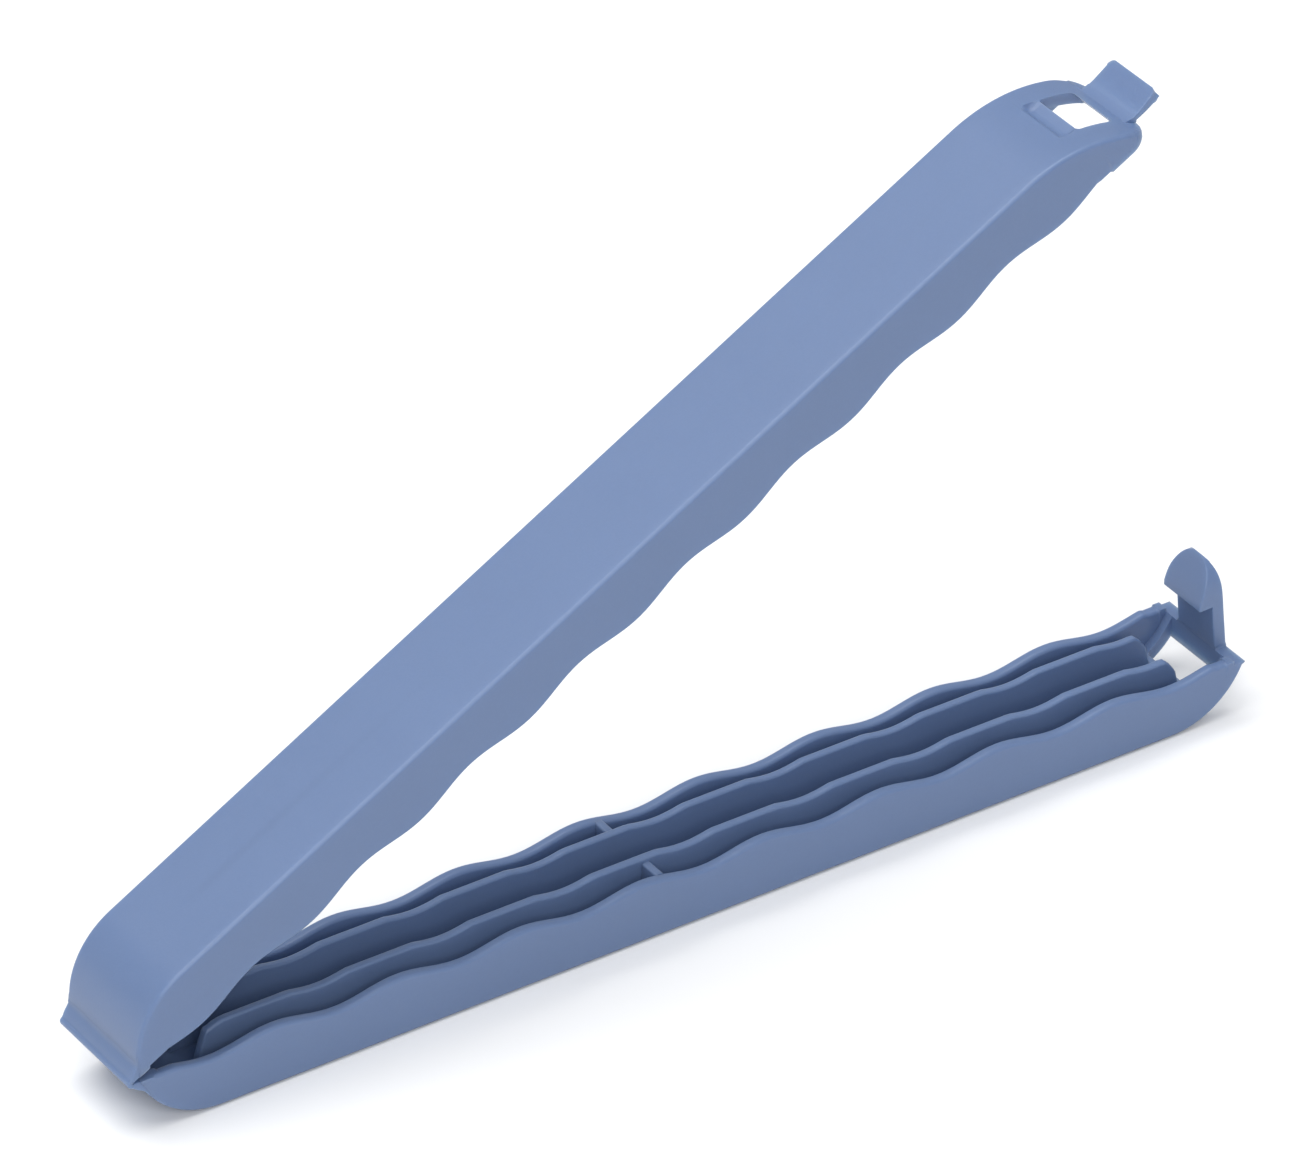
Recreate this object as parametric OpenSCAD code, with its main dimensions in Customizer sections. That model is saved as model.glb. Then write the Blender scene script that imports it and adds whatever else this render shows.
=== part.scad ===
// Two-arm bag clip in one plastic: a lower arm with a sprung catch, an upper arm that
// closes over it, and a film hinge between them. The arms meet along a wavy sealing line.
//
// Both arms are drawn shut, in one arm frame: X runs along the clip from the outside of the
// hinge to the tip, and the parting plane is z = 0. The upper arm is then swung open about
// the fold. Depths are measured from the parting plane towards each arm's outer face.

/* [Arms] */
// Width of both arms
arm_w = 10.2; // [8:0.1:14]
// Depth of the lower arm, from the parting plane to its flat outer face
arm_depth = 5.05; // [4.8:0.05:5.3]
// Depth of the upper arm, measured in the same way
upper_depth = 5.35; // [5.2:0.05:5.5]
// Thickness of walls and floors
wall_t = 1.0; // [0.8:0.05:1.2]
// Radius of the curved ends of both arms at the hinge, and of the lower arm's tip
end_r = 7.5; // [7:0.1:8]
// Distance from the outside of the hinge to the lower arm's tip, on the parting plane
lower_len = 104.9; // [100:0.1:108]
// Radius of the upper arm's long curved tip
tip_r = 13.6; // [13:0.1:14]
// Distance from the outside of the hinge to the upper arm's end
upper_len = 107.35; // [107:0.05:108]
// Angle between the arms at rest
open_angle = 29.5; // [5:0.5:90]

/* [Sealing wave] */
// Length of one wave
wave_pitch = 11.25; // [9:0.05:14]
// Height of a crest above the parting plane
wave_amp = 0.4; // [0:0.05:0.45]
// Place of the first crest, from the outside of the hinge
wave_start = 2.15; // [1.5:0.05:3]
// Gap between the two rims when the clip is shut
rim_gap = 0.1; // [0.1:0.05:0.3]

/* [Ribs and webs] */
// Thickness of the sealing ribs and the cross webs
rib_t = 0.75; // [0.6:0.05:0.8]
// Distance from the middle of the clip to each of the lower arm's ribs
rib_y = 2.0; // [1.8:0.05:2.2]
// How far the lower ribs stand above the rim
rib_rise = 0.65; // [0:0.05:0.8]
// How far the upper arm's middle rib hangs below its rim
keel_drop = 0.6; // [0:0.05:1]
// Distance from the outside of the hinge to the cross webs
web_x = 48.9; // [45:0.1:55]

/* [Film hinge] */
// Width of the hinge
hinge_w = 10; // [8:0.1:10]
// Thickness of each hinge leaf
leaf_t = 0.4; // [0.3:0.05:0.45]
// Distance from the outside of the hinge to the middle of the fold
fold_x = 0.65; // [0.6:0.01:0.7]
// Radius of the rounded fold between the leaves
fold_r = 0.4; // [0.3:0.01:0.42]

/* [Catch] */
// Width of the catch
catch_w = 4.9; // [4:0.1:5]
// Thickness of the catch's post
post_t = 0.95; // [0.9:0.05:1]
// Height of the catch above the parting plane
catch_h = 7.9; // [7:0.1:8.5]
// Height of the flat underside of the hook
hook_z = 4.1; // [3.95:0.05:4.4]
// How far the hook reaches towards the hinge
hook_reach = 1.25; // [0.8:0.05:1.3]
// Lean of the post towards the hinge
post_lean = 4; // [0:0.5:5]

/* [Windows and tab] */
// Width of the upper arm's window
window_w = 5.2; // [5.1:0.1:6]
// Distance from the outside of the hinge to the hinge side of the upper arm's window
window_x = 103.2; // [103:0.05:103.25]
// Length of the upper arm's window
window_len = 2.85; // [2.6:0.05:2.9]
// Height of the shelf beside the window, where the hook rests
shelf_h = 3.9; // [3.8:0.05:3.93]
// Width of the opening in the lower arm under the hook
opening_w = 6.6; // [6:0.1:7]
// Distance from the outside of the hinge to the end of the thumb tab
tab_end = 110.1; // [109.5:0.1:111]
// Width of the thumb tab's free end
tab_w = 5.7; // [5:0.1:7]
// Thickness of the thumb tab
tab_t = 0.95; // [0.8:0.05:1.1]

/* [Hidden] */

cover_color = [0.47, 0.55, 0.71];
wall_color = [0.42, 0.48, 0.62];
inner_color = [0.36, 0.42, 0.55];

half_w = arm_w / 2;
inner_half_w = half_w - wall_t;
end_drop = arm_depth - end_r;
end_run = sqrt(end_r * end_r - end_drop * end_drop);
hinge_end_x = 1.36;
hinge_arc_x = hinge_end_x + end_run;
upper_end_drop = upper_depth - end_r;
upper_hinge_arc_x = hinge_end_x + sqrt(end_r * end_r - upper_end_drop * upper_end_drop);
tip_arc_x = lower_len - end_run;
upper_drop = upper_depth - tip_r;
rim_land = 0.1;
upper_land = rim_land + rim_gap;
upper_arc_x = upper_len - sqrt(tip_r * tip_r - pow(upper_land - upper_drop, 2));
// The wave gives way to flat rims beside the hinge, and beside the window and the catch
hinge_land_x = 4.5;
hinge_land = 0.1;
land_x = 101.4;
corner_r = 2.1;
arc_step = 5;
wave_step = 0.75;
leaf_gap = 0.02;
leaf_face = 0.05;
// Depth at which each rim starts beside the hinge, and how far in its top starts
rim_start = 0.02;
wall_inset = 0.3;
rib_start = 8.2;
rib_ramp = 0.3;
rib_ramp_z = -0.4;
rib_wave_start = 9.7;
rib_end_z = -2.85;
lower_rib_end = 100.3;
rib_end_r = 2.6;
// Height of the cross webs above the parting plane
web_rise = 0.2;
keel_start = 9;
keel_ramp = 1.5;
keel_end = 98.5;
shelf_len = 1.6;
shelf_w = window_w + 0.4;
opening_x = 101.3;
end_wall_top = 0.45;
// Thumb tab: its top at the end and at the dip, and its root under the cover
tab_top = 1.3;
tab_dip = 0.95;
tab_dip_len = 0.7;
tab_root_x = upper_len - 1;
tab_root_half_w = 3.3;
tab_nose = 0.6;
// The catch bends at the root of its post, about the middle of its rounded foot
foot_r = 0.4;
foot_x = 104.15;
foot_z = -0.55;
foot_relief = 0.12;
post_half = post_t / 2;
hook_lip = 0.6;
dome_z = 4.9;
post_straight = 7.4;
// The clip stands on its flat lower face, with the origin at the middle of its length
centre_x = (lower_len + fold_x - fold_r) / 2;
// How far pieces run into each other where a face is trimmed afterwards
lap = 0.6;

function wave(x) = wave_amp * cos(360 * (x - wave_start) / wave_pitch);
function rim(x, land) =
    x < hinge_land_x ? hinge_land : x < land_x ? wave(x) : land;

// Points of an arc about (cx, cy), from angle a0 to angle a1
function arc(cx, cy, r, a0, a1) =
    let (n = ceil(abs(a1 - a0) / arc_step))
    [for (i = [0:n]) let (a = a0 + (a1 - a0) * i / n) [cx + r * cos(a), cy + r * sin(a)]];

// Points along the rim, offset from the wave by dz, from x0 to x1
function rim_line(x0, x1, dz, land) =
    let (n = ceil(abs(x1 - x0) / wave_step))
    [for (i = [0:n]) let (x = x0 + (x1 - x0) * i / n) [x, rim(x, land) + dz]];

function flip(points) = [for (p = points) [p[0], -p[1]]];

// Angle at which an arc of radius r about depth cy reaches the depth d
function arc_angle(d, cy, r) = asin((d - cy) / r);

// Outer face of the lower arm, inset by t, from depth d0 at the hinge to d1 at the tip
function lower_face(t, d0, d1) =
    let (r = end_r - t)
    concat(arc(hinge_arc_x, end_drop, r, 180 - arc_angle(d0, end_drop, r), 90),
           arc(tip_arc_x, end_drop, r, 90, arc_angle(d1, end_drop, r)));

// Outer face of the upper arm in the same way
function upper_face(t, d0, d1) =
    let (r = end_r - t, rt = tip_r - t)
    concat(arc(upper_hinge_arc_x, upper_end_drop, r, 180 - arc_angle(d0, upper_end_drop, r), 90),
           arc(upper_arc_x, upper_drop, rt, 90, arc_angle(d1, upper_drop, rt)));

// A band as thick as the wall, between a face and the same face inset
function band(outer, inner) = concat(outer, reverse(inner));

function reverse(points) = [for (i = [len(points) - 1:-1:0]) points[i]];

// A plate drawn in the XZ plane and extruded across the clip, from y0 to y1
module across(y0, y1) {
    translate([0, y1, 0])
        rotate([90, 0, 0])
            linear_extrude(y1 - y0)
                children();
}

module place_lower() {
    translate([-centre_x, 0, arm_depth])
        children();
}

module place_upper() {
    place_lower()
        translate([fold_x, 0, 0])
            rotate([0, -open_angle, 0])
                translate([-fold_x, 0, 0])
                    children();
}

// Plan outline of the upper arm, with round corners at the tip
module upper_plan() {
    side_len = upper_len - corner_r;
    translate([0, -half_w, -upper_depth])
        cube([side_len, arm_w, 3 * upper_depth]);
    translate([0, corner_r - half_w, -upper_depth])
        cube([upper_len, arm_w - 2 * corner_r, 3 * upper_depth]);
    for (side = [-1, 1])
        translate([side_len, side * (half_w - corner_r), -upper_depth])
            cylinder(h = 3 * upper_depth, r = corner_r, $fn = 48);
}

module lower_wall_outline() {
    polygon(concat(flip(lower_face(0, rim_start, rim_start)),
                   rim_line(lower_len - lap, hinge_end_x + wall_inset, -rim_gap / 2, rim_land)));
}

module lower_base() {
    color(wall_color) place_lower()
        difference() {
            across(-inner_half_w, inner_half_w)
                polygon(flip(band(lower_face(0, rim_start, end_wall_top),
                                  lower_face(wall_t, rim_start, end_wall_top))));
            translate([opening_x, -opening_w / 2, -2 * arm_depth])
                cube([foot_x - post_half - opening_x, opening_w, 2 * arm_depth]);
            catch_seat();
        }
}

// Room for the catch's rounded foot in the top of the tip wall
module catch_seat() {
    translate([foot_x, catch_w / 2 + leaf_gap, foot_z])
        rotate([90, 0, 0])
            cylinder(h = catch_w + 2 * leaf_gap, r = foot_r + leaf_gap, $fn = 48);
    translate([foot_x - 2, -catch_w / 2 - leaf_gap, foot_z - foot_relief])
        cube([4, catch_w + 2 * leaf_gap, 2]);
}

module lower_front_wall() {
    color(wall_color) place_lower()
        across(-half_w, -inner_half_w)
            lower_wall_outline();
}

module lower_rear_wall() {
    color(wall_color) place_lower()
        across(inner_half_w, half_w)
            lower_wall_outline();
}

module lower_rib_outline() {
    floor_z = wall_t - arm_depth;
    top_x = lower_rib_end - rib_end_r;
    top_z = rim(top_x, rim_land) + rib_rise;
    polygon(concat(
        [[rib_start, floor_z], [rib_start + rib_ramp, rib_ramp_z]],
        rim_line(rib_wave_start, top_x, rib_rise, rim_land),
        arc(top_x, top_z - rib_end_r, rib_end_r, 85, 0),
        [[lower_rib_end, rib_end_z], [tip_arc_x - wall_t, floor_z]]));
}

module lower_rib(y) {
    color(inner_color) place_lower()
        difference() {
            across(y - rib_t / 2, y + rib_t / 2)
                lower_rib_outline();
            // the rib stops on the curved inside of the tip
            difference() {
                translate([tip_arc_x, -arm_w, -2 * arm_depth])
                    cube([end_r, 2 * arm_w, 2 * arm_depth + rib_end_z + wall_t]);
                across(-arm_w, arm_w)
                    translate([tip_arc_x, -end_drop])
                        circle(end_r - wall_t, $fn = 144);
            }
        }
}

module lower_front_rib() {
    lower_rib(-rib_y);
}

module lower_rear_rib() {
    lower_rib(rib_y);
}

module cross_web(y0, y1) {
    color(inner_color) place_lower()
        translate([web_x - rib_t / 2, y0, wall_t - arm_depth])
            cube([rib_t, y1 - y0, arm_depth - wall_t + web_rise]);
}

module front_cross_web() {
    cross_web(-inner_half_w, -rib_y - rib_t / 2);
}

module rear_cross_web() {
    cross_web(rib_y + rib_t / 2, inner_half_w);
}

// One leaf of the hinge by depth, from the fold to the end wall's arc
module leaf_outline(arc_x, drop) {
    difference() {
        translate([fold_x, leaf_face])
            square([hinge_end_x - fold_x + lap, leaf_t]);
        translate([fold_x, 0])
            circle(fold_r + leaf_gap, $fn = 48);
        translate([arc_x, drop])
            circle(end_r, $fn = 288);
    }
}

module lower_hinge_leaf() {
    color(wall_color) place_lower()
        across(-hinge_w / 2, hinge_w / 2)
            mirror([0, 1])
                leaf_outline(hinge_arc_x, end_drop);
}

module hinge_fold() {
    color(wall_color) place_lower()
        across(-hinge_w / 2, hinge_w / 2)
            translate([fold_x, 0])
                circle(fold_r, $fn = 48);
}

module upper_hinge_leaf() {
    color(cover_color) place_upper()
        across(-hinge_w / 2, hinge_w / 2)
            leaf_outline(upper_hinge_arc_x, upper_end_drop);
}

module upper_cover() {
    color(cover_color) place_upper()
        difference() {
            intersection() {
                across(-inner_half_w, inner_half_w)
                    polygon(band(upper_face(0, rim_start + rim_gap, upper_land),
                                 upper_face(wall_t, rim_start + rim_gap, upper_land)));
                upper_plan();
            }
            translate([window_x, -window_w / 2, 0])
                cube([window_len, window_w, upper_depth]);
            // shelf under the hook
            translate([window_x - shelf_len, -shelf_w / 2, shelf_h])
                cube([shelf_len, shelf_w, upper_depth]);
        }
}

module upper_wall_outline() {
    polygon(concat(upper_face(0, rim_start + rim_gap, upper_land),
                   rim_line(upper_len, hinge_end_x + wall_inset, rim_gap / 2, rim_land)));
}

module upper_wall(y0, y1) {
    color(wall_color) place_upper()
        intersection() {
            across(y0, y1)
                upper_wall_outline();
            upper_plan();
        }
}

module upper_front_wall() {
    upper_wall(-half_w, -inner_half_w);
}

module upper_rear_wall() {
    upper_wall(inner_half_w, half_w);
}

module upper_middle_rib() {
    top_h = upper_depth - wall_t;
    color(inner_color) place_upper()
        difference() {
            across(-rib_t / 2, rib_t / 2)
                polygon(concat([[keel_start, top_h]],
                               rim_line(keel_start + keel_ramp, keel_end - keel_ramp,
                                        -keel_drop, rim_land),
                               [[keel_end, top_h]]));
            // the rib stops on the curved inside of the cover
            difference() {
                translate([upper_arc_x, -arm_w, wall_t])
                    cube([tip_r, 2 * arm_w, upper_depth]);
                across(-arm_w, arm_w)
                    translate([upper_arc_x, upper_drop])
                        circle(tip_r - wall_t, $fn = 288);
            }
        }
}

// Side outline of the tab: it rises towards its end
module tab_outline() {
    polygon([[tab_root_x, upper_land], [tab_end, tab_top - tab_t], [tab_end, tab_top],
             [upper_len + tab_dip_len, tab_dip], [tab_root_x, tab_top]]);
}

// Plan of the tab: wide at the root, with its end corners cut
module tab_plan() {
    end_half_w = tab_w / 2;
    side = [[tab_root_x, tab_root_half_w], [upper_len + tab_nose, end_half_w],
            [tab_end - tab_nose, end_half_w], [tab_end, end_half_w - tab_nose]];
    polygon(concat(side, reverse(flip(side))));
}

module thumb_tab() {
    color(cover_color) place_upper()
        difference() {
            intersection() {
                across(-half_w, half_w)
                    tab_outline();
                translate([0, 0, -upper_depth])
                    linear_extrude(2 * upper_depth)
                        tab_plan();
            }
            // the tab's root lies on the curved cover
            across(-half_w, half_w)
                translate([upper_arc_x, upper_drop])
                    circle(tip_r, $fn = 576);
        }
}

// Front outline of the catch: straight sides and a domed top
module catch_front() {
    half_c = catch_w / 2;
    polygon(concat([[half_c, foot_z - foot_r], [half_c, dome_z]],
                   [for (a = [arc_step:arc_step:180 - arc_step])
                       [half_c * cos(a), dome_z + (catch_h - dome_z) * sin(a)]],
                   [[-half_c, dome_z], [-half_c, foot_z - foot_r]]));
}

module catch_shape() {
    intersection() {
        across(-catch_w / 2, catch_w / 2)
            translate([foot_x, foot_z])
                rotate(post_lean)
                    children();
        rotate([90, 0, 90])
            linear_extrude(2 * lower_len)
                catch_front();
    }
}

module catch_post() {
    color(inner_color) place_lower()
        catch_shape() {
            union() {
                circle(foot_r, $fn = 48);
                translate([-post_half, 0])
                    square([post_t, post_straight]);
                // the top of the post curves over towards the hook
                translate([-post_half, post_straight])
                    intersection() {
                        circle(post_t, $fn = 48);
                        square(post_t);
                    }
            }
        }
}

module catch_hook() {
    under = hook_z - foot_z;
    rise = post_straight + post_t - under;
    // the ramp bulges between the lip and the top of the post
    ramp = [for (a = [0:15:90])
        [-post_half - hook_reach * cos(a), under + hook_lip + (rise - hook_lip) * sin(a)]];
    color(inner_color) place_lower()
        catch_shape()
            polygon(concat([[-post_half, under], [-post_half - hook_reach, under]], ramp));
}

lower_base();
lower_front_wall();
lower_rear_wall();
lower_front_rib();
lower_rear_rib();
front_cross_web();
rear_cross_web();
lower_hinge_leaf();
hinge_fold();
upper_cover();
upper_front_wall();
upper_rear_wall();
upper_middle_rib();
thumb_tab();
upper_hinge_leaf();
catch_post();
catch_hook();
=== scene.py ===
import math

import bmesh
import bpy
from mathutils import Matrix, Vector


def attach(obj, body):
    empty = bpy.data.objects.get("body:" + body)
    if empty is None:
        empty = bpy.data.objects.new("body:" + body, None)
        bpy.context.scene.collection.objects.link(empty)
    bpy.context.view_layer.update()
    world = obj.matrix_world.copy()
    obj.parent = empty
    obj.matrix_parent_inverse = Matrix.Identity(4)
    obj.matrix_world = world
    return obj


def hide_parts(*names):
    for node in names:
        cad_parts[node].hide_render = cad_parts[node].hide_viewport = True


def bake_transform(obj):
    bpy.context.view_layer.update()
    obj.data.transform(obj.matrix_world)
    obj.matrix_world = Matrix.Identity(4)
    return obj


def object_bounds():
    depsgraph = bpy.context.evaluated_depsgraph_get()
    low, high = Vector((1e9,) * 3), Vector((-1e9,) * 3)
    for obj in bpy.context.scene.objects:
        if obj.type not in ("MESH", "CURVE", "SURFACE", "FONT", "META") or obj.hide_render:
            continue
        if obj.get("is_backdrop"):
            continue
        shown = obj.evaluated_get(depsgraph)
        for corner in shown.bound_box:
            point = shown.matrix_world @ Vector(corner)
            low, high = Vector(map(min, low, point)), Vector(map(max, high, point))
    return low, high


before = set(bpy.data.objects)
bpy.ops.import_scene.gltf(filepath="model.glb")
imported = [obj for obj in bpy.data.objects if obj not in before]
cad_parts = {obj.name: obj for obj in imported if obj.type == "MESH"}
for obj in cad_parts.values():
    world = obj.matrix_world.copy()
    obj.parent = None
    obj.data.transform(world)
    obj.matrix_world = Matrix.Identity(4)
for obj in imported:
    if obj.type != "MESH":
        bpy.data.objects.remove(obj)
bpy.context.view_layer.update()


# --- Lower arm shell ---------------------------------------------------------------------
# The lower half of the clip: a channel with a curved end wall at each end and two side
# walls whose rims follow the sealing wave. Moulded polypropylene, one piece with the rest.
# Drawn shut in millimetres, from the outside of the hinge, then set in the row frame.

ARM_HALF = 5.1
WALL = 1.0
DEPTH = 5.05
END_R = 7.5
END_MID_Z = END_R - DEPTH
END_RUN = math.sqrt(END_R ** 2 - END_MID_Z ** 2)
HINGE_END_X = 1.36
HINGE_MID_X = HINGE_END_X + END_RUN
LOWER_LEN = 104.9
TIP_MID_X = LOWER_LEN - END_RUN
FOLD_X = 0.65
FOLD_R = 0.4
CENTRE_X = (LOWER_LEN + FOLD_X - FOLD_R) / 2
OPEN_ANGLE = math.radians(29.5)
WAVE_PITCH = 11.25
WAVE_START = 2.15
WAVE_AMP = 0.4
INNER_Y = ARM_HALF - WALL
EDGE_ROUND = 0.34
# the rims are rounded between these places, their outer edges from a little nearer the hinge
ROUND_RIM = (3.2, 102.9)
ROUND_OUTER_RIM = (2.5, 4)
ROUND_ENDS_FROM = 1.5
MIDDLE_X = 50
# beside the hinge the wave gives way to a flat rim; the arms keep a little apart
HINGE_LAND_X = 4.5
HINGE_LAND = 0.1
RIM_GAP = 0.05


def wave(x):
    return WAVE_AMP * math.cos(2 * math.pi * (x - WAVE_START) / WAVE_PITCH)


def ease(t):
    t = min(1.0, max(0.0, t))
    return t * t * (3 - 2 * t)


def new_block(name, low, high):
    """A block between two corners, in millimetres, in edit mode with nothing selected."""
    low, high = Vector(low), Vector(high)
    bpy.ops.object.select_all(action="DESELECT")
    bpy.ops.mesh.primitive_cube_add(size=1, location=(low + high) / 2, scale=high - low)
    bpy.ops.object.transform_apply(location=True, rotation=True, scale=True)
    piece = bpy.context.object
    piece.name = piece.data.name = name
    bpy.ops.object.mode_set(mode="EDIT")
    bpy.ops.mesh.select_all(action="DESELECT")
    return piece


def middle(part):
    if isinstance(part, bmesh.types.BMVert):
        return part.co
    if isinstance(part, bmesh.types.BMFace):
        return part.calc_center_median()
    return (part.verts[0].co + part.verts[1].co) / 2


def pick(kind, test):
    """Selects the vertices, edges or faces that pass the test, and returns their number."""
    bpy.ops.mesh.select_all(action="DESELECT")
    bpy.ops.mesh.select_mode(type=kind)
    mesh = bpy.context.object.data
    work = bmesh.from_edit_mesh(mesh)
    parts = {"VERT": work.verts, "EDGE": work.edges, "FACE": work.faces}[kind]
    found = [part for part in parts if test(middle(part), part)]
    for part in found:
        part.select_set(True)
    work.select_flush_mode()
    bmesh.update_edit_mesh(mesh)
    return len(found)


def cut(spot, normal, test=lambda c, p: True, **options):
    """Cuts the picked faces with a plane; clear_outer=True, use_fill=True trims a solid."""
    pick("FACE", test)
    bpy.ops.mesh.bisect(plane_co=spot, plane_no=normal, threshold=1e-5, **options)


def shape_stations(axis, place):
    """Moves the selected vertices, one station along the axis at a time, by place(x, z)."""
    mesh = bpy.context.object.data
    work = bmesh.from_edit_mesh(mesh)
    work.verts.ensure_lookup_table()
    stations = {}
    for v in work.verts:
        if v.select:
            stations.setdefault(round(v.co[axis], 3), []).append(v.index)
    moves = {}
    for members in stations.values():
        first = work.verts[members[0]].co.copy()
        moves[tuple(members)] = place(first) - first
    for members, move in moves.items():
        bpy.ops.mesh.select_all(action="DESELECT")
        bpy.ops.mesh.select_mode(type="VERT")
        work = bmesh.from_edit_mesh(mesh)
        work.verts.ensure_lookup_table()
        for i in members:
            work.verts[i].select_set(True)
        bmesh.update_edit_mesh(mesh)
        bpy.ops.transform.translate(value=move)


def is_hard(edge, degrees=40):
    """True for an outward edge between two faces that meet at more than the angle."""
    return (len(edge.link_faces) == 2 and edge.is_convex
            and edge.calc_face_angle() > math.radians(degrees))


def round_edges(width, test, steps=4):
    pick("EDGE", test)
    bpy.ops.mesh.bevel(offset=width, segments=steps, affect="EDGES", clamp_overlap=False)


def finish_mesh(piece, sharp=32):
    """Closes the mesh, points its faces outwards and smooths it over its rounded edges."""
    bpy.ops.mesh.select_all(action="SELECT")
    bpy.ops.mesh.remove_doubles(threshold=1e-4)
    bpy.ops.mesh.dissolve_degenerate(threshold=1e-4)
    bpy.ops.mesh.select_all(action="SELECT")
    bpy.ops.mesh.normals_make_consistent(inside=False)
    bpy.ops.object.mode_set(mode="OBJECT")
    bpy.ops.object.shade_smooth_by_angle(angle=math.radians(sharp))
    bpy.ops.object.modifier_add(type="WEIGHTED_NORMAL")
    piece.modifiers[-1].keep_sharp = True
    bpy.ops.object.modifier_apply(modifier=piece.modifiers[-1].name)


def set_in_place(piece, turn=0.0):
    """Scales millimetres to metres and moves a piece from its arm's frame to the row frame."""
    bpy.ops.object.select_all(action="DESELECT")
    piece.select_set(True)
    bpy.context.view_layer.objects.active = piece
    piece.matrix_world = (Matrix.Translation(((FOLD_X - CENTRE_X) / 1000, 0, DEPTH / 1000))
                          @ Matrix.Rotation(-turn, 4, "Y") @ Matrix.Scale(0.001, 4)
                          @ Matrix.Translation((-FOLD_X, 0, 0)))
    bpy.ops.object.transform_apply(location=True, rotation=True, scale=True)


def layer(c, mid_x0, mid_x1, mid_z):
    """Distance of a point from the middle of the curved end it belongs to."""
    if c.x < mid_x0:
        return math.hypot(c.x - mid_x0, c.z - mid_z)
    if c.x > mid_x1:
        return math.hypot(c.x - mid_x1, c.z - mid_z)
    return abs(c.z - mid_z)


lower = new_block("lower_arm_shell", (HINGE_MID_X, -ARM_HALF, -DEPTH),
                  (TIP_MID_X, ARM_HALF, WALL - DEPTH))
for cuts in (9, 15):
    pick("EDGE", lambda c, e: abs(e.verts[0].co.x - e.verts[1].co.x) > 0.1)
    bpy.ops.mesh.subdivide(number_cuts=cuts)
for y in (-INNER_Y, INNER_Y):
    cut((0, y, 0), (0, 1, 0))
END_STEPS = 40
END_SWEEP = math.radians(80)
for end_x, way in ((HINGE_MID_X, -1), (TIP_MID_X, 1)):
    pick("FACE", lambda c, f: abs(c.x - end_x) < 1e-3)
    bpy.ops.mesh.spin(steps=END_STEPS, angle=way * END_SWEEP, center=(end_x, 0, END_MID_Z),
                      axis=(0, 1, 0))
HINGE_RIM = HINGE_LAND - RIM_GAP
TIP_RIM = -0.27
cut((0, 0, HINGE_RIM), (0, 0, 1), lambda c, f: c.x < HINGE_MID_X + 0.1,
    clear_outer=True, use_fill=True)
cut((0, 0, TIP_RIM), (0, 0, 1), lambda c, f: c.x > TIP_MID_X - 0.1,
    clear_outer=True, use_fill=True)


def on_tip_rim(c, f):
    return f.normal.z > 0.9 and c.z > TIP_RIM - 0.05 and c.x > TIP_MID_X


for x in (104.0, 104.25, 104.45, 104.6, 104.72, 104.82):
    cut((x, 0, 0), (1, 0, 0), on_tip_rim)

# Side walls: the strips of the floor's inner face beside the edges, raised to the rim.
# Past the wave the rim runs level, then drops over its nose to the rim of the tip.
LAND_X = 101.5
LAND_RUN = 0.5
LAND_Z = 0.05
NOSE = 0.7
LOWER_TOP_X = TIP_MID_X + math.sqrt(END_R ** 2 - (END_MID_Z - TIP_RIM) ** 2)


def rim_height(x):
    return HINGE_LAND if x < HINGE_LAND_X else wave(x)


def lower_rim(p):
    high = rim_height(p.x) - RIM_GAP
    high += (LAND_Z - high) * ease((p.x - LAND_X) / LAND_RUN)
    over = min(1.0, max(0.0, 1 - (LOWER_TOP_X - p.x) / NOSE))
    if p.x > LAND_X:
        high = TIP_RIM + (high - TIP_RIM) * math.sqrt(1 - over ** 2)
    return Vector((p.x, p.y, high))


def lower_inside(c, f):
    inner = layer(c, HINGE_MID_X, TIP_MID_X, END_MID_Z) < END_R - WALL + 0.1
    below_rim = c.z < HINGE_RIM - 0.001 or c.x > MIDDLE_X
    return (inner and f.normal.z > -0.5 and below_rim or on_tip_rim(c, f)) and (
        abs(f.normal.y) < 0.5)


pick("FACE", lambda c, f: lower_inside(c, f) and abs(c.y) > INNER_Y)
bpy.ops.mesh.extrude_region_move(TRANSFORM_OT_translate={"value": (0, 0, 0.05)})
shape_stations(0, lower_rim)


def join_up():
    """Welds meeting corners and points every face outwards."""
    bpy.ops.mesh.select_all(action="SELECT")
    bpy.ops.mesh.remove_doubles(threshold=1e-3)
    bpy.ops.mesh.dissolve_degenerate(threshold=1e-3)
    bpy.ops.mesh.select_all(action="SELECT")
    bpy.ops.mesh.normals_make_consistent(inside=False)
    if bmesh.from_edit_mesh(bpy.context.object.data).calc_volume(signed=True) < 0:
        bpy.ops.mesh.flip_normals()


def at_side_face(c):
    return abs(c.y) > ARM_HALF - 0.1


def on_rim_to_round(c):
    return (ROUND_RIM[0] < c.x < ROUND_RIM[1]
            or ROUND_OUTER_RIM[0] < c.x < ROUND_OUTER_RIM[1] and at_side_face(c))


def on_lower_end(c):
    outer = layer(c, HINGE_MID_X, TIP_MID_X, END_MID_Z) > END_R - 0.05
    return ROUND_ENDS_FROM < c.x and outer and at_side_face(c) and c.z < -0.5


join_up()
round_edges(EDGE_ROUND, lambda c, e: is_hard(e) and (on_rim_to_round(c) or on_lower_end(c)))

# The moulding core comes out through an opening in the curved tip, below the catch.
OPENING = (101.3, 103.68)
OPENING_HALF = 3.3
OPENING_CORNER = 0.35
bpy.ops.object.mode_set(mode="OBJECT")
core = new_block("core", (OPENING[0], -OPENING_HALF, -7), (OPENING[1], OPENING_HALF, -0.3))
round_edges(OPENING_CORNER, lambda c, e: abs(c.x - OPENING[0]) < 0.01
            and abs(abs(c.y) - OPENING_HALF) < 0.01, steps=5)
bpy.ops.object.mode_set(mode="OBJECT")


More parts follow.
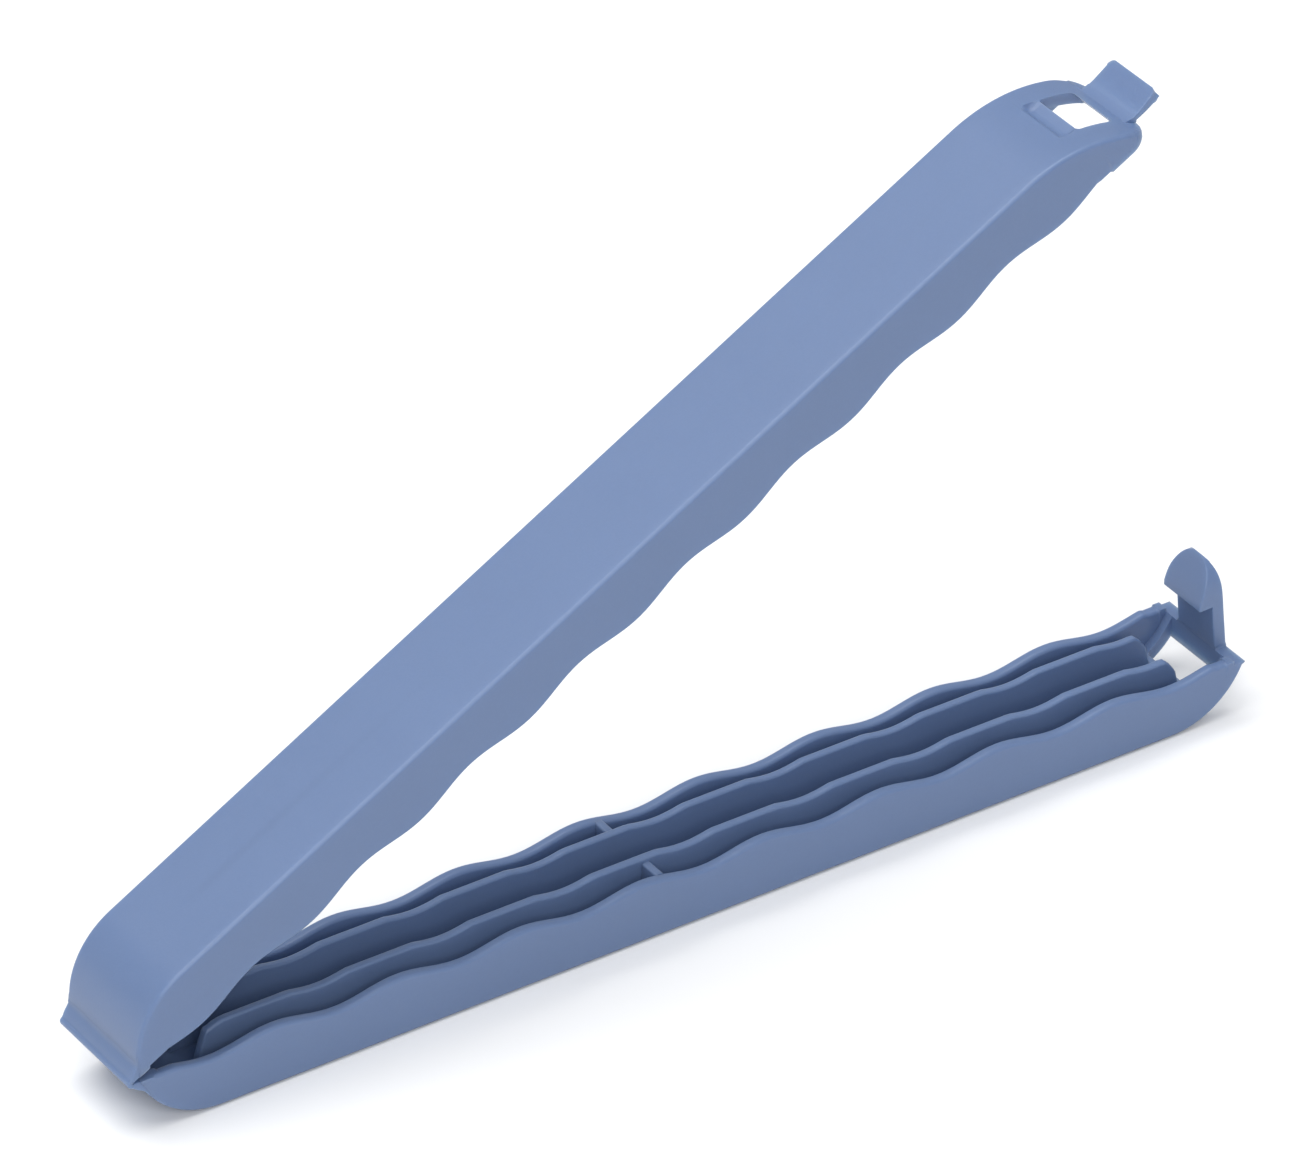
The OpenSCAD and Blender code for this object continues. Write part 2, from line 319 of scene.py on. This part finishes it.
def carve(piece, cutter):
    """Takes the cutter's shape out of the piece, and the cutter away."""
    bpy.ops.object.select_all(action="DESELECT")
    piece.select_set(True)
    bpy.context.view_layer.objects.active = piece
    bpy.ops.object.modifier_add(type="BOOLEAN")
    tool = piece.modifiers[-1]
    tool.operation, tool.solver, tool.object = "DIFFERENCE", "FAST", cutter
    bpy.ops.object.modifier_apply(modifier=tool.name)
    bpy.data.objects.remove(cutter)
    bpy.ops.object.mode_set(mode="EDIT")


carve(lower, core)
finish_mesh(lower)
set_in_place(lower)

# --- Sealing ribs and cross webs ----------------------------------------------------------
# Two thin ribs stand on the lower arm's floor and one hangs in the upper arm, between them,
# so the bag is pressed into a narrow fold. Two small webs tie the lower ribs to the walls.

RIB_T = 0.75
RIB_Y = 2.0
RIB_RISE = 0.65
RIB_LOW_ENDS = (7.9, 100.3)
RIB_EDGE_ROUND = 0.24
FLOOR_Z = WALL - DEPTH
# a rib's feet are sunk this far into the arm
FOOT_SUNK = 0.3
# the rib climbs a steep end, then eases up to the wave; its far end is a rounded shoulder
RIB_START_Z = -2.9
RIB_CLIMB = (3.0, 0.8)
RIB_EASE = (8.7, 1.6, 0.5)
SHOULDER_X = 97.7
SHOULDER_Z = 0.62
SHOULDER_R = 2.6
SHOULDER_SLOPE = 1.25


def lower_rib_top(x):
    level = wave(x) + RIB_RISE
    climb, climb_run = RIB_CLIMB
    ease_from, ease_run, ease_rise = RIB_EASE
    ramp = (x - RIB_LOW_ENDS[0]) / climb_run
    start = RIB_START_Z + climb * min(1.0, ramp) + ease_rise * ease((x - ease_from) / ease_run)
    drop = max(0.0, x - SHOULDER_X)
    fall = SHOULDER_R - math.sqrt(max(0.0, SHOULDER_R ** 2 - drop ** 2))
    end = SHOULDER_Z - fall * SHOULDER_SLOPE
    return min(level, start, end)


def new_rib(name, ends, top, floor, outward):
    """A thin plate along the arm whose free edge follows top(x) and foot follows floor(x)."""
    foot = floor(MIDDLE_X)
    low, high = sorted((foot, foot - outward * 3))
    rib = new_block(name, (ends[0], -RIB_T / 2, low), (ends[1], RIB_T / 2, high))
    for cuts in (9, 19):
        pick("EDGE", lambda c, e: abs(e.verts[0].co.x - e.verts[1].co.x) > 0.1)
        bpy.ops.mesh.subdivide(number_cuts=cuts)
    pick("VERT", lambda c, v: (c.z - foot) * -outward > 1)
    shape_stations(0, lambda p: Vector((p.x, p.y, top(p.x))))
    pick("VERT", lambda c, v: abs(c.z - foot) < 1e-3)
    shape_stations(0, lambda p: Vector((p.x, p.y, floor(p.x))))
    round_edges(RIB_EDGE_ROUND,
                lambda c, e: is_hard(e) and (top(c.x) - c.z) * outward > -0.3)
    return rib


def lower_floor(x):
    r = END_R - WALL + FOOT_SUNK
    run = max(0.0, HINGE_MID_X - x, x - TIP_MID_X)
    return END_MID_Z - math.sqrt(r * r - run * run)


for side in (-1, 1):
    name = "front_sealing_rib" if side < 0 else "rear_sealing_rib"
    if side < 0:
        rib = new_rib(name, RIB_LOW_ENDS, lower_rib_top, lower_floor, -1)
        pick("VERT", lambda c, v: True)
        bpy.ops.transform.translate(value=(0, side * RIB_Y, 0))
        finish_mesh(rib)
        set_in_place(rib)
        ribs = [rib]
    else:
        bpy.ops.object.select_all(action="DESELECT")
        ribs[0].select_set(True)
        bpy.ops.object.duplicate(linked=False)
        rib = bpy.context.view_layer.objects.active = bpy.context.selected_objects[0]
        rib.name = rib.data.name = name
        rib.location.y = 2 * RIB_Y / 1000
        bpy.ops.object.transform_apply(location=True, rotation=True, scale=True)
        ribs.append(rib)

WEB_X = 48.9
WEB_TOP = 0.22
WEB_SUNK = 0.2
WEB_ROUND = 0.2
webs = []
for side, name in ((-1, "front_cross_web"), (1, "rear_cross_web")):
    reach = sorted((side * (RIB_Y + WEB_SUNK), side * (INNER_Y + WEB_SUNK)))
    web = new_block("web_" + name.split("_")[0],
                    (WEB_X - RIB_T / 2, reach[0], FLOOR_Z - WEB_SUNK),
                    (WEB_X + RIB_T / 2, reach[1], WEB_TOP))
    round_edges(WEB_ROUND, lambda c, e: is_hard(e) and c.z > 0.1 and abs(c.x - WEB_X) > 0.1)
    finish_mesh(web)
    set_in_place(web)
    webs.append((web, name))

# --- Upper arm shell ----------------------------------------------------------------------
# The cover half: the same channel turned over, with a longer curved tip rounded in plan,
# a window that the hook snaps through, a dished shelf beside it and a lip for the thumb.

TIP_R = 13.6
UPPER_LEN = 107.35
UPPER_DEPTH = 5.35
UPPER_RIM = 0.2
UPPER_TIP_MID_Z = UPPER_DEPTH - TIP_R
UPPER_END_MID_Z = UPPER_DEPTH - END_R
UPPER_END_MID_X = HINGE_END_X + math.sqrt(END_R ** 2 - UPPER_END_MID_Z ** 2)
UPPER_HINGE_RIM = HINGE_LAND + RIM_GAP
UPPER_TIP_MID_X = UPPER_LEN - math.sqrt(TIP_R ** 2 - (UPPER_RIM - UPPER_TIP_MID_Z) ** 2)
CORNER_R = 2.1
CORNER_X = 105.25
UPPER_LAND_X = 101.55
UPPER_LAND_RUN = 0.45
ROUND_TIP_TO = 106.4
WINDOW = (103.2, 105.8)
WINDOW_HALF = 2.57
SHELF_HALF = 2.85
WINDOW_CORNER = 0.3
# height and shift of the window's tip side: it slopes, so the window is longer inside
WINDOW_LEAN = ((-1, 0.65), (8, -1.35))
SHELF_Z = 3.6
SHELF_ROUND = 0.45

upper = new_block("upper_arm_shell", (UPPER_END_MID_X, -ARM_HALF, UPPER_DEPTH - WALL),
                  (UPPER_TIP_MID_X, ARM_HALF, UPPER_DEPTH))
for cuts in (9, 15):
    pick("EDGE", lambda c, e: abs(e.verts[0].co.x - e.verts[1].co.x) > 0.1)
    bpy.ops.mesh.subdivide(number_cuts=cuts)
for y in (-INNER_Y, INNER_Y):
    cut((0, y, 0), (0, 1, 0))
for end_x, mid_z, sweep, steps in ((UPPER_END_MID_X, UPPER_END_MID_Z, 80, 40),
                                   (UPPER_TIP_MID_X, UPPER_TIP_MID_Z, -54, 54)):
    pick("FACE", lambda c, f: abs(c.x - end_x) < 1e-3)
    bpy.ops.mesh.spin(steps=steps, angle=math.radians(sweep), center=(end_x, 0, mid_z),
                      axis=(0, 1, 0))
cut((0, 0, UPPER_HINGE_RIM), (0, 0, -1), lambda c, f: c.x < UPPER_END_MID_X + 0.1,
    clear_outer=True, use_fill=True)
cut((0, 0, UPPER_RIM), (0, 0, -1), lambda c, f: c.x > UPPER_TIP_MID_X - 0.1,
    clear_outer=True, use_fill=True)


def upper_rim(p):
    step = ease((p.x - UPPER_LAND_X) / UPPER_LAND_RUN)
    return Vector((p.x, p.y, (rim_height(p.x) + RIM_GAP) * (1 - step) + UPPER_RIM * step))


def upper_layer(c):
    if c.x < UPPER_END_MID_X:
        return END_R - math.hypot(c.x - UPPER_END_MID_X, c.z - UPPER_END_MID_Z)
    if c.x > UPPER_TIP_MID_X:
        return TIP_R - math.hypot(c.x - UPPER_TIP_MID_X, c.z - UPPER_TIP_MID_Z)
    return UPPER_DEPTH - c.z


pick("FACE", lambda c, f: upper_layer(c) > WALL - 0.1 and abs(f.normal.y) < 0.5
     and c.z > UPPER_RIM + 0.002 and abs(c.y) > INNER_Y)
bpy.ops.mesh.extrude_region_move(TRANSFORM_OT_translate={"value": (0, 0, -0.05)})
shape_stations(0, upper_rim)
join_up()


# The tip is narrowed station by station to its rounded corners.
def tip_share(x):
    over = min(max(0.0, x - CORNER_X), CORNER_R)
    return (ARM_HALF - CORNER_R + math.sqrt(CORNER_R ** 2 - over ** 2)) / ARM_HALF


work = bmesh.from_edit_mesh(upper.data)
tip_places = sorted({round(v.co.x, 3) for v in work.verts if v.co.x > CORNER_X})
for x in tip_places:
    pick("VERT", lambda c, v: abs(c.x - x) < 6e-4)
    bpy.ops.transform.resize(value=(1, tip_share(x), 1), center_override=(x, 0, 0))

# The thumb lip grows out of the lowest rows of the tip.
LIP_ROOT_HALF = 2.9
LIP_ROOT_X = 106.72
LIP_CORNER = 0.55
LIP_ROUND = 0.12
# place, half width, underside and top
LIP_SECTIONS = ((107.5, 2.97, 0.4, 0.89), (107.95, 2.96, 0.37, 0.92), (108.6, 2.93, 0.35, 1.03),
                (109.4, 2.87, 0.36, 1.19), (110.1, 2.83, 0.39, 1.32))
for y in (-LIP_ROOT_HALF, LIP_ROOT_HALF):
    cut((0, y, 0), (0, 1, 0), lambda c, f: c.x > 106.1)
pick("FACE", lambda c, f: c.x > LIP_ROOT_X and abs(f.normal.y) < 0.6 and upper_layer(c) < 0.05
     and f.normal.z > -0.5 and abs(c.y) < LIP_ROOT_HALF)
for x, half, low, high in LIP_SECTIONS:
    bpy.ops.mesh.extrude_region_move(TRANSFORM_OT_translate={"value": (0.3, 0, 0)})
    work = bmesh.from_edit_mesh(upper.data)
    spots = [v.co.copy() for v in work.verts if v.select]
    x0 = min(p.x for p in spots)
    z0, z1 = min(p.z for p in spots), max(p.z for p in spots)
    y1 = max(p.y for p in spots)
    bpy.ops.transform.resize(value=(0, half / y1, (high - low) / (z1 - z0)),
                             center_override=(x0, 0, z0))
    bpy.ops.transform.translate(value=(x - x0, 0, low - z0))
join_up()
round_edges(LIP_CORNER, lambda c, e: is_hard(e) and c.x > 110 and abs(c.y) > 2.7
            and abs(e.verts[0].co.z - e.verts[1].co.z) > 0.03, steps=6)
join_up()
round_edges(LIP_ROUND, lambda c, e: is_hard(e) and c.x > 107.6
            and (abs(c.y) < 2.3 or c.x < 109.4), steps=2)


def on_upper_end(c):
    return ROUND_ENDS_FROM < c.x < ROUND_TIP_TO and upper_layer(c) < 0.05 and c.z > 0.5


round_edges(EDGE_ROUND, lambda c, e: is_hard(e) and (on_rim_to_round(c) or on_upper_end(c)))

# The window, and the shelf that the hook rests on.
bpy.ops.object.mode_set(mode="OBJECT")
opening = new_block("opening", (WINDOW[0], -WINDOW_HALF, -1), (WINDOW[1], WINDOW_HALF, 8))
for z, slant in WINDOW_LEAN:
    pick("VERT", lambda c, v: c.x > WINDOW[1] - 0.1 and abs(c.z - z) < 0.1)
    bpy.ops.transform.translate(value=(slant, 0, 0))
round_edges(WINDOW_CORNER, lambda c, e: abs(abs(c.y) - WINDOW_HALF) < 0.01
            and abs(e.verts[0].co.z - e.verts[1].co.z) > 1, steps=5)
bpy.ops.object.mode_set(mode="OBJECT")
carve(upper, opening)
bpy.ops.object.mode_set(mode="OBJECT")
shelf = new_block("shelf", (WINDOW[0] - 1.2, 0.3 - SHELF_HALF, SHELF_Z),
                  (WINDOW[0] + 0.3, SHELF_HALF - 0.3, 8))
pick("VERT", lambda c, v: c.z > 7)
bpy.ops.transform.resize(value=(1, 1.6, 1), center_override=(WINDOW[0], 0, SHELF_Z))
pick("VERT", lambda c, v: c.z > 7 and c.x < WINDOW[0])
bpy.ops.transform.translate(value=(-2.0, 0, 0))
round_edges(SHELF_ROUND, lambda c, e: is_hard(e) and c.x < WINDOW[0] and c.z < 7, steps=6)
bpy.ops.object.mode_set(mode="OBJECT")
carve(upper, shelf)
finish_mesh(upper, sharp=44)
set_in_place(upper, OPEN_ANGLE)

# The middle rib hangs under the cover, out of sight between the two lower ribs.
MIDDLE_RIB_ENDS = (9.0, 98.5)
MIDDLE_RIB_DROP = 0.6
middle_rib = new_rib("middle_sealing_rib", MIDDLE_RIB_ENDS,
                     lambda x: wave(x) - MIDDLE_RIB_DROP,
                     lambda x: UPPER_DEPTH - WALL + FOOT_SUNK, 1)
finish_mesh(middle_rib)
set_in_place(middle_rib, OPEN_ANGLE)

# --- Film hinge ---------------------------------------------------------------------------
# A thin strip that joins the two end walls and folds over at the very end of the clip. It
# flares into each wall, and it is the only part of the moulding that bends when it opens.

LEAF_HALF = 5.0
LEAF_TOP = -0.03
# place along the arm and depth of the leaf's outer face, from the end wall to the fold
FLARE = ((2.3, -1.82), (2.1, -1.6), (1.97, -1.41), (1.84, -1.24), (1.7, -1.08), (1.5, -0.95),
         (1.18, -0.78), (0.95, -0.62), (0.8, -0.5), (FOLD_X, -FOLD_R))
half_turn = OPEN_ANGLE / 2
fold_mid = Vector((FOLD_X, 0, 0))
mid_plane = Vector((-math.sin(half_turn), 0, math.cos(half_turn)))

film = new_block("film_hinge", (FLARE[0][0], -LEAF_HALF, FLARE[0][1]),
                 (FLARE[0][0] + 0.1, LEAF_HALF, LEAF_TOP))
pick("FACE", lambda c, f: f.normal.x < -0.9)
for (x0, low0), (x1, low1) in zip(FLARE, FLARE[1:]):
    bpy.ops.mesh.extrude_region_move(TRANSFORM_OT_translate={"value": (x1 - x0, 0, 0)})
    bpy.ops.transform.resize(value=(1, 1, (low1 - LEAF_TOP) / (low0 - LEAF_TOP)),
                             center_override=(x1, 0, LEAF_TOP))
# half of the fold, up to the plane midway between the arms, which the other half mirrors
FOLD_STEPS = 12
bpy.ops.mesh.spin(steps=FOLD_STEPS, angle=half_turn - math.pi / 2, center=fold_mid,
                  axis=(0, 1, 0))


def on_mid_plane(c):
    return abs((c - fold_mid).dot(mid_plane)) < 0.01 and c.x < FOLD_X


join_up()
pick("FACE", lambda c, f: on_mid_plane(c) and abs(f.normal.dot(mid_plane)) > 0.9)
bpy.ops.mesh.delete(type="FACE")
round_edges(0.1, lambda c, e: is_hard(e, 60) and abs(c.y) > LEAF_HALF - 0.01 and c.x < 1.7
            and math.hypot(c.x - FOLD_X, c.z) > FOLD_R / 2, steps=3)
bpy.ops.object.mode_set(mode="OBJECT")
bpy.ops.object.empty_add(location=fold_mid, rotation=(0, -half_turn, 0))
mirror_plane = bpy.context.object
bpy.ops.object.select_all(action="DESELECT")
film.select_set(True)
bpy.context.view_layer.objects.active = film
bpy.ops.object.modifier_add(type="MIRROR")
film.modifiers[-1].use_axis = (False, False, True)
film.modifiers[-1].mirror_object = mirror_plane
film.modifiers[-1].merge_threshold = 0.001
bpy.ops.object.modifier_apply(modifier=film.modifiers[-1].name)
bpy.data.objects.remove(mirror_plane)
bpy.ops.object.mode_set(mode="EDIT")
finish_mesh(film)
set_in_place(film)

# --- Catch --------------------------------------------------------------------------------
# A springy post on the lower arm's tip with a domed hook. Its root flows into the tip wall,
# its front is in line with the end of the opening below, and it bends back to let go.

POST_HALF = 2.46
HOOK_UNDER = 3.86
DOME_FROM = 4.9
CATCH_TOP = 7.88
POST_TOP = 4.4
POST_FRONT = 103.33
# height, front, back and half width of the post; its root is wider and lies in the tip wall
POST_LEVELS = ((-1.0, 103.75, 104.55, 2.9), (-0.5, 103.72, 104.72, 2.88),
               (-0.38, 103.71, 104.74, 2.7), (-0.2, 103.7, 104.8, 2.56),
               (0.05, 103.68, 104.82, 2.48), (0.6, 103.62, 104.78, POST_HALF),
               (1.6, 103.53, 104.68, POST_HALF), (2.8, 103.42, 104.55, POST_HALF),
               (HOOK_UNDER, POST_FRONT, 104.45, POST_HALF), (POST_TOP, 103.3, 104.4, POST_HALF))
HOOK_FRONT = ((HOOK_UNDER, 102.05), (4.4, 102.06), (4.9, 102.22), (5.3, 102.36), (5.8, 102.55),
              (6.3, 102.78), (6.8, 103.0), (7.2, 103.16), (7.5, 103.26), (7.88, 103.4))
POST_BACK = ((4.4, 104.4), (5.3, 104.3), (5.9, 104.24), (6.4, 104.16), (6.9, 104.04),
             (7.3, 103.88), (7.6, 103.72), (7.88, 103.5))


def between(table, z):
    """Reads a value from a table of heights and places, straight between its rows."""
    if z <= table[0][0]:
        return table[0][1]
    for (z0, a), (z1, b) in zip(table, table[1:]):
        if z <= z1:
            return a + (b - a) * (z - z0) / (z1 - z0)
    return table[-1][1]


def catch_section(z, front, back, half):
    work = bmesh.from_edit_mesh(bpy.context.object.data)
    spots = [v.co for v in work.verts if v.select]
    x0, x1 = min(p.x for p in spots), max(p.x for p in spots)
    y1, z0 = max(p.y for p in spots), spots[0].z
    bpy.ops.transform.resize(value=((back - front) / (x1 - x0), half / y1, 1),
                             center_override=(x0, 0, z0))
    bpy.ops.transform.translate(value=(front - x0, 0, z - z0))


z, front, back, half = POST_LEVELS[0]
catch = new_block("catch_hook_and_post", (front, -half, z - 0.1), (back, half, z))
pick("FACE", lambda c, f: f.normal.z > 0.9)
for z, front, back, half in POST_LEVELS[1:]:
    bpy.ops.mesh.extrude_region_move(TRANSFORM_OT_translate={"value": (0, 0, 0.01)})
    catch_section(z, front, back, half)
DOME_STEPS = 14
DOME_SWEEP = math.radians(84)
DOME_HIGH = CATCH_TOP + 0.03 - DOME_FROM


def dome_half(z):
    """Half width at a height: straight sides, then rounded over to the top."""
    if z < DOME_FROM:
        return POST_HALF
    return POST_HALF * math.sqrt(max(0.012, 1 - ((z - DOME_FROM) / DOME_HIGH) ** 2))


def dome_front(z):
    if z < 7:
        return POST_FRONT - 0.03 * (z - HOOK_UNDER) / 4
    return max(103.3, between(HOOK_FRONT, z))


for i in range(1, DOME_STEPS + 1):
    turn = DOME_SWEEP * i / DOME_STEPS
    z = POST_TOP + (CATCH_TOP - POST_TOP) * math.sin(turn) / math.sin(DOME_SWEEP)
    bpy.ops.mesh.extrude_region_move(TRANSFORM_OT_translate={"value": (0, 0, 0.01)})
    catch_section(z, dome_front(z), max(between(POST_BACK, z), 103.5), dome_half(z))
# The hook is drawn out of the front of the post, from its underside to the top of the dome.
pick("FACE", lambda c, f: f.normal.x < -0.5 and c.z > HOOK_UNDER)
bpy.ops.mesh.extrude_region_move(TRANSFORM_OT_translate={"value": (-0.2, 0, 0)})
shape_stations(2, lambda p: Vector((min(between(HOOK_FRONT, p.z), p.x + 0.19), p.y, p.z)))
join_up()
CATCH_ROUND = 0.12
round_edges(CATCH_ROUND, lambda c, e: is_hard(e, 50) and 0.1 < c.z < 7.4, steps=3)
finish_mesh(catch, sharp=40)
set_in_place(catch)

# --- Plastic ------------------------------------------------------------------------------
# One batch of pale blue polypropylene, coloured right through. The tool's fine spark
# texture gives it a satin face; over the middle rib the cover has a faint line of painted shade.


class Socket:
    """A node's output in an expression; arithmetic on it adds the Math node."""

    def __init__(self, nodes, out):
        self.nodes, self.out = nodes, out

    def math(self, operation, a, b=None):
        return self.nodes.add("ShaderNodeMath", {"operation": operation},
                              {0: a} if b is None else {0: a, 1: b})

    def __add__(self, other):
        return self.math("ADD", self, other)

    def __sub__(self, other):
        return self.math("SUBTRACT", self, other)

    def __rsub__(self, other):
        return self.math("SUBTRACT", other, self)

    def __mul__(self, other):
        return self.math("MULTIPLY", self, other)

    def __truediv__(self, other):
        return self.math("DIVIDE", self, other)

    __radd__ = __add__
    __rmul__ = __mul__


class Nodes:
    """The node tree of one material."""

    def __init__(self, name):
        self.material = bpy.data.materials.new(name)
        self.material.use_nodes = True
        self.tree = self.material.node_tree
        self.tree.nodes.clear()

    def add(self, kind, settings=(), inputs=(), output=0):
        node = self.tree.nodes.new(kind)
        for key, value in dict(settings).items():
            setattr(node, key, value)
        for key, value in dict(inputs).items():
            socket = node.inputs[key]
            if isinstance(value, Socket):
                self.tree.links.new(value.out, socket)
            else:
                socket.default_value = value
        return Socket(self, node.outputs[output])


def plastic(name, colour, grain, painted_sink_shade=False):
    """Satin moulded plastic with a fine grain, in metres on the piece's own coordinates."""
    n = Nodes(name)
    place = n.add("ShaderNodeTexCoord", output="Object")
    cloud = n.add("ShaderNodeTexNoise", inputs={"Vector": place, "Scale": 90.0, "Detail": 3.0})
    fine = n.add("ShaderNodeTexNoise", inputs={"Vector": place, "Scale": 5200.0, "Detail": 2.0,
                                               "Roughness": 0.6})
    speck = n.add("ShaderNodeTexNoise", inputs={"Vector": place, "Scale": 2300.0, "Detail": 1.0})
    tone = 1 + (cloud - 0.5) * 0.07 + (fine - 0.5) * 0.05 + (speck - 0.5) * 0.03
    height = fine * 0.6 + speck * 0.4
    if painted_sink_shade:
        # painted shade: a faint darker line over the middle rib, for the shade of its sink dent,
        # fading from the hinge
        spot = n.add("ShaderNodeSeparateXYZ", inputs={"Vector": place})
        across = n.add("ShaderNodeSeparateXYZ", inputs={"Vector": place}, output=1)
        along = spot + CENTRE_X / 1000
        line = n.add("ShaderNodeMapRange", {"interpolation_type": "SMOOTHSTEP"},
                     {0: across.math("ABSOLUTE", across), 1: 0.0, 2: 0.0007, 3: 1.0, 4: 0.0})
        near = n.add("ShaderNodeMapRange", {"interpolation_type": "SMOOTHSTEP"},
                     {0: along, 1: 0.008, 2: 0.011, 3: 0.0, 4: 1.0})
        far = n.add("ShaderNodeMapRange", {"interpolation_type": "SMOOTHSTEP"},
                    {0: along, 1: 0.014, 2: 0.032, 3: 1.0, 4: 0.12})
        painted_shade_line = line * near * far
        # the tone is darkened along the painted shade line
        tone = tone - painted_shade_line * 0.05
    tint = n.add("ShaderNodeMix", {"data_type": "RGBA", "blend_type": "MULTIPLY"},
                 {"Factor": 1.0, 6: (*colour, 1.0),
                  7: n.add("ShaderNodeCombineColor", inputs={0: tone, 1: tone, 2: tone})}, output=2)
    rough = 0.36 + (cloud - 0.5) * 0.12 + (speck - 0.5) * 0.08
    bump = n.add("ShaderNodeBump",
                 inputs={"Strength": grain, "Distance": 0.00002, "Height": height})
    shader = n.add("ShaderNodeBsdfPrincipled",
                   inputs={"Base Color": tint, "Roughness": rough, "Normal": bump, "IOR": 1.49,
                           "Specular IOR Level": 0.45, "Subsurface Weight": 0.25,
                           "Subsurface Radius": (0.6, 0.8, 1.0), "Subsurface Scale": 0.003})
    final = n.tree.nodes.new("ShaderNodeOutputMaterial")
    n.tree.links.new(shader.out, final.inputs["Surface"])
    return n.material


BLUE = (0.116, 0.172, 0.305)
shell_plastic = plastic("blue_polypropylene", BLUE, 0.35)
# the cover's material carries the painted shade line over the middle rib
cover_plastic = plastic("blue_polypropylene_cover", BLUE, 0.5, painted_sink_shade=True)


def dress(piece, material):
    piece.data.materials.clear()
    piece.data.materials.append(material)


# --- How the pieces ride ------------------------------------------------------------------
# Everything is one moulding, so each piece of an arm goes with that arm. In the real clip the strip
# of the hinge and the root of the post bend from one body to the next; here their places are baked
# in.

for piece, nodes in ((lower, ("lower_base", "lower_front_wall", "lower_rear_wall")),
                     (ribs[0], ("lower_front_rib",)), (ribs[1], ("lower_rear_rib",)),
                     (webs[0][0], ("front_cross_web",)), (webs[1][0], ("rear_cross_web",))):
    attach(piece, "lower_arm")
    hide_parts(*nodes)
    dress(piece, shell_plastic)

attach(upper, "upper_arm")
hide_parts("upper_cover", "upper_front_wall", "upper_rear_wall", "thumb_tab")
dress(upper, cover_plastic)
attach(middle_rib, "upper_arm")
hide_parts("upper_middle_rib")
dress(middle_rib, shell_plastic)

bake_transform(film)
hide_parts("lower_hinge_leaf", "hinge_fold", "upper_hinge_leaf")
dress(film, shell_plastic)

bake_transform(catch)
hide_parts("catch_post", "catch_hook")
dress(catch, shell_plastic)

# --- Floor, light and camera --------------------------------------------------------------

bpy.ops.mesh.primitive_plane_add(size=6, location=(0, 0, -0.0001))
floor = bpy.context.object
floor.name = "floor"
n = Nodes("pale_floor")
paper = n.add("ShaderNodeTexNoise", inputs={"Vector": n.add("ShaderNodeTexCoord", output="Object"),
                                            "Scale": 60.0, "Detail": 2.0})
white = 0.86 + (paper - 0.5) * 0.01
shader = n.add("ShaderNodeBsdfPrincipled",
               inputs={"Base Color": n.add("ShaderNodeCombineColor",
                                           inputs={0: white, 1: white, 2: white}),
                       "Roughness": 0.9, "Specular IOR Level": 0.1})
final = n.tree.nodes.new("ShaderNodeOutputMaterial")
n.tree.links.new(shader.out, final.inputs["Surface"])
floor.data.materials.append(n.material)
floor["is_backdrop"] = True


def softbox(name, spot, size, power):
    """A square area light that faces the middle of the clip."""
    bpy.ops.object.light_add(type="AREA", location=spot)
    light = bpy.context.object
    light.name, light.data.size, light.data.energy = name, size, power
    light.rotation_euler = (Vector((0, 0, 0.02)) - Vector(spot)).to_track_quat("-Z", "Y").to_euler()


softbox("overhead", (-0.15, 0.1, 0.9), 0.9, 8.6)
softbox("front_fill", (-0.4, -0.75, 0.6), 0.5, 4.4)
world = bpy.data.worlds.new("studio")
bpy.context.scene.world = world
world.use_nodes = True
world.node_tree.nodes["Background"].inputs["Color"].default_value = (0.95, 0.97, 1.0, 1)
world.node_tree.nodes["Background"].inputs["Strength"].default_value = 0.5
bpy.context.scene.view_settings.view_transform = "Standard"

CAMERA_AT = (-0.37355, -0.5474, 0.4732)
bpy.ops.object.camera_add(location=CAMERA_AT)
camera = bpy.context.object
right = Vector((0.8300, -0.5577, 0.0076)).normalized()
up = Vector((0.3056, 0.4660, 0.8303)).normalized()
camera.matrix_world = Matrix(
    ((*right, 0), (*up, 0), (*right.cross(up), 0), (0, 0, 0, 1))).transposed()
camera.location = CAMERA_AT
camera.data.sensor_width = 36
camera.data.lens = 287.15
camera.data.clip_start = 0.01
bpy.context.scene.camera = camera

low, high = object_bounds()
